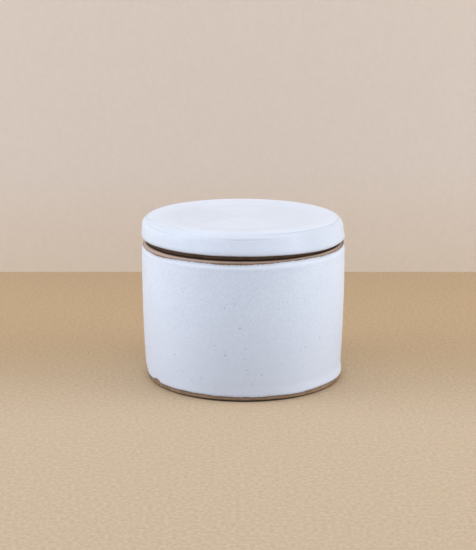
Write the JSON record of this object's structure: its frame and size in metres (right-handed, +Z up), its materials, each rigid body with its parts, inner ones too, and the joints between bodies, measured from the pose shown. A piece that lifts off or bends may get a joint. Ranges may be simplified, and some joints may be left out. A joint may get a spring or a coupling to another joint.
{
  "type": "butter keeper",
  "caption": "Round stoneware butter keeper: a flat lid, flush with the crock's side, carries a cup that hangs mouth down inside over water. White glaze, with bare brown clay at seam and foot.",
  "frame": {"origin": "centre of the crock's foot, on the surface that it stands on", "axes": "+Z up the axis of the crock, lid and cup, which are turned alike all round it"},
  "size_m": [0.114, 0.114, 0.092],
  "materials": {
    "bare_stoneware": "matte, fine grit, toasted brown where the glaze was wiped away",
    "white_glaze": "satin, slightly blue white with small dark iron specks"
  },
  "bodies": {
    "crock": {"crock": "bare_stoneware", "crock_outer_glaze": "white_glaze", "crock_inner_glaze": "white_glaze"},
    "lid": {"lid": "bare_stoneware", "lid_glaze": "white_glaze", "butter_cup": "bare_stoneware", "underside_glaze": "white_glaze"}
  },
  "joints": [
    {"name": "lid_lift", "type": "slide", "parent": "crock", "child": "lid", "axis": [0, 0, 1], "range_m": [0, 0.08]}
  ]
}
